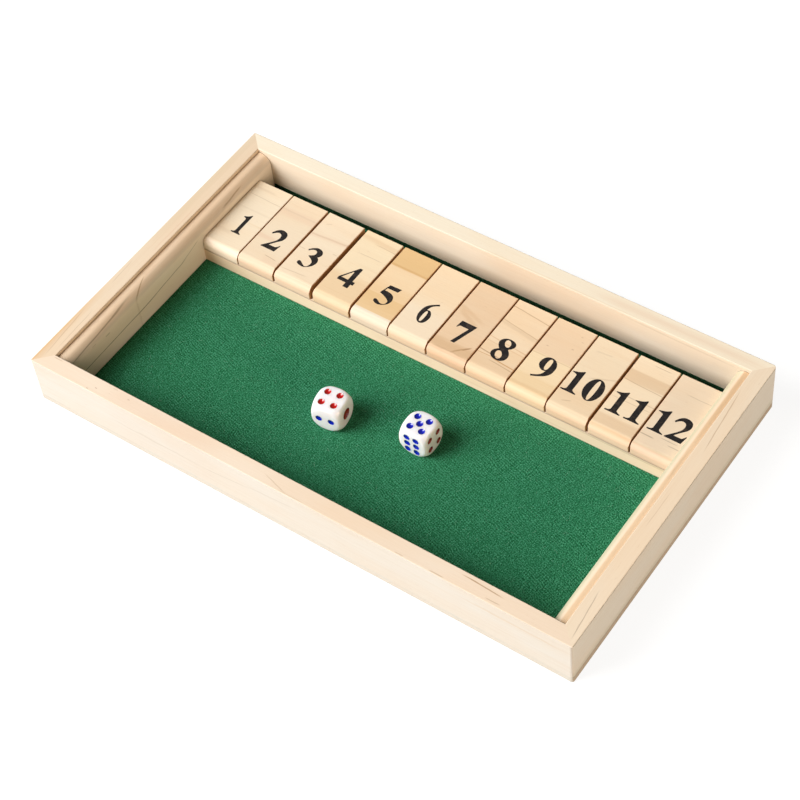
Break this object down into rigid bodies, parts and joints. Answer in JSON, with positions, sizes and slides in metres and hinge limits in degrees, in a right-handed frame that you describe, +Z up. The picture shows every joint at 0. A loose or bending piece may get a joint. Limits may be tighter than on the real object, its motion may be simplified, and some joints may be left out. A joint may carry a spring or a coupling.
{
  "type": "shut the box game",
  "caption": "Shallow wooden dice tray with a felt floor, a row of numbered tiles that flip up on a steel rod, and a pair of dice.",
  "frame": {"origin": "centre of the underside of the box", "axes": "+X from tile 1 to tile 12 along the length of the box, +Y from the player's side to the tiles, +Z up"},
  "size_m": [0.34, 0.2, 0.0315],
  "materials": {
    "pine": "sanded bare pine with a satin clear coat",
    "tile_pine": "sanded pine with a satin clear coat and black printed numbers",
    "plywood": "thin plywood, bare edge",
    "felt": "short-napped green felt",
    "steel": "bright drawn wire",
    "die_plastic": "polished white plastic with red and blue painted pips"
  },
  "bodies": {
    "box": {"front_rail": "pine", "back_rail": "pine", "left_rail": "pine", "right_rail": "pine", "base_panel": "plywood", "playing_felt": "felt", "left_cheek": "pine", "right_cheek": "pine", "tile_ledge": "pine", "hinge_rod": "steel", "base_brads": "steel"},
    "tile_1_flap": {"tile_1": "tile_pine"},
    "tile_2_flap": {"tile_2": "tile_pine"},
    "tile_3_flap": {"tile_3": "tile_pine"},
    "tile_4_flap": {"tile_4": "tile_pine"},
    "tile_5_flap": {"tile_5": "tile_pine"},
    "tile_6_flap": {"tile_6": "tile_pine"},
    "tile_7_flap": {"tile_7": "tile_pine"},
    "tile_8_flap": {"tile_8": "tile_pine"},
    "tile_9_flap": {"tile_9": "tile_pine"},
    "tile_10_flap": {"tile_10": "tile_pine"},
    "tile_11_flap": {"tile_11": "tile_pine"},
    "tile_12_flap": {"tile_12": "tile_pine"},
    "die_left_loose": {"die_left": "die_plastic"},
    "die_right_loose": {"die_right": "die_plastic"}
  },
  "joints": [
    {"name": "tile_1_flip", "type": "hinge", "parent": "box", "child": "tile_1_flap", "pos_m": [0, 0.0726, 0.0171], "axis": [-1, 0, 0], "range_deg": [0, 130.5]},
    {"name": "tile_2_flip", "type": "hinge", "parent": "box", "child": "tile_2_flap", "pos_m": [0, 0.0726, 0.0171], "axis": [-1, 0, 0], "range_deg": [0, 130.5]},
    {"name": "tile_3_flip", "type": "hinge", "parent": "box", "child": "tile_3_flap", "pos_m": [0, 0.0726, 0.0171], "axis": [-1, 0, 0], "range_deg": [0, 130.5]},
    {"name": "tile_4_flip", "type": "hinge", "parent": "box", "child": "tile_4_flap", "pos_m": [0, 0.0726, 0.0171], "axis": [-1, 0, 0], "range_deg": [0, 130.5]},
    {"name": "tile_5_flip", "type": "hinge", "parent": "box", "child": "tile_5_flap", "pos_m": [0, 0.0726, 0.0171], "axis": [-1, 0, 0], "range_deg": [0, 130.5]},
    {"name": "tile_6_flip", "type": "hinge", "parent": "box", "child": "tile_6_flap", "pos_m": [0, 0.0726, 0.0171], "axis": [-1, 0, 0], "range_deg": [0, 130.5]},
    {"name": "tile_7_flip", "type": "hinge", "parent": "box", "child": "tile_7_flap", "pos_m": [0, 0.0726, 0.0171], "axis": [-1, 0, 0], "range_deg": [0, 130.5]},
    {"name": "tile_8_flip", "type": "hinge", "parent": "box", "child": "tile_8_flap", "pos_m": [0, 0.0726, 0.0171], "axis": [-1, 0, 0], "range_deg": [0, 130.5]},
    {"name": "tile_9_flip", "type": "hinge", "parent": "box", "child": "tile_9_flap", "pos_m": [0, 0.0726, 0.0171], "axis": [-1, 0, 0], "range_deg": [0, 130.5]},
    {"name": "tile_10_flip", "type": "hinge", "parent": "box", "child": "tile_10_flap", "pos_m": [0, 0.0726, 0.0171], "axis": [-1, 0, 0], "range_deg": [0, 130.5]},
    {"name": "tile_11_flip", "type": "hinge", "parent": "box", "child": "tile_11_flap", "pos_m": [0, 0.0726, 0.0171], "axis": [-1, 0, 0], "range_deg": [0, 130.5]},
    {"name": "tile_12_flip", "type": "hinge", "parent": "box", "child": "tile_12_flap", "pos_m": [0, 0.0726, 0.0171], "axis": [-1, 0, 0], "range_deg": [0, 130.5]},
    {"name": "die_left_lift", "type": "slide", "parent": "box", "child": "die_left_loose", "axis": [0, 0, 1], "range_m": [0, 0.045]},
    {"name": "die_right_lift", "type": "slide", "parent": "box", "child": "die_right_loose", "axis": [0, 0, 1], "range_m": [0, 0.045]}
  ]
}
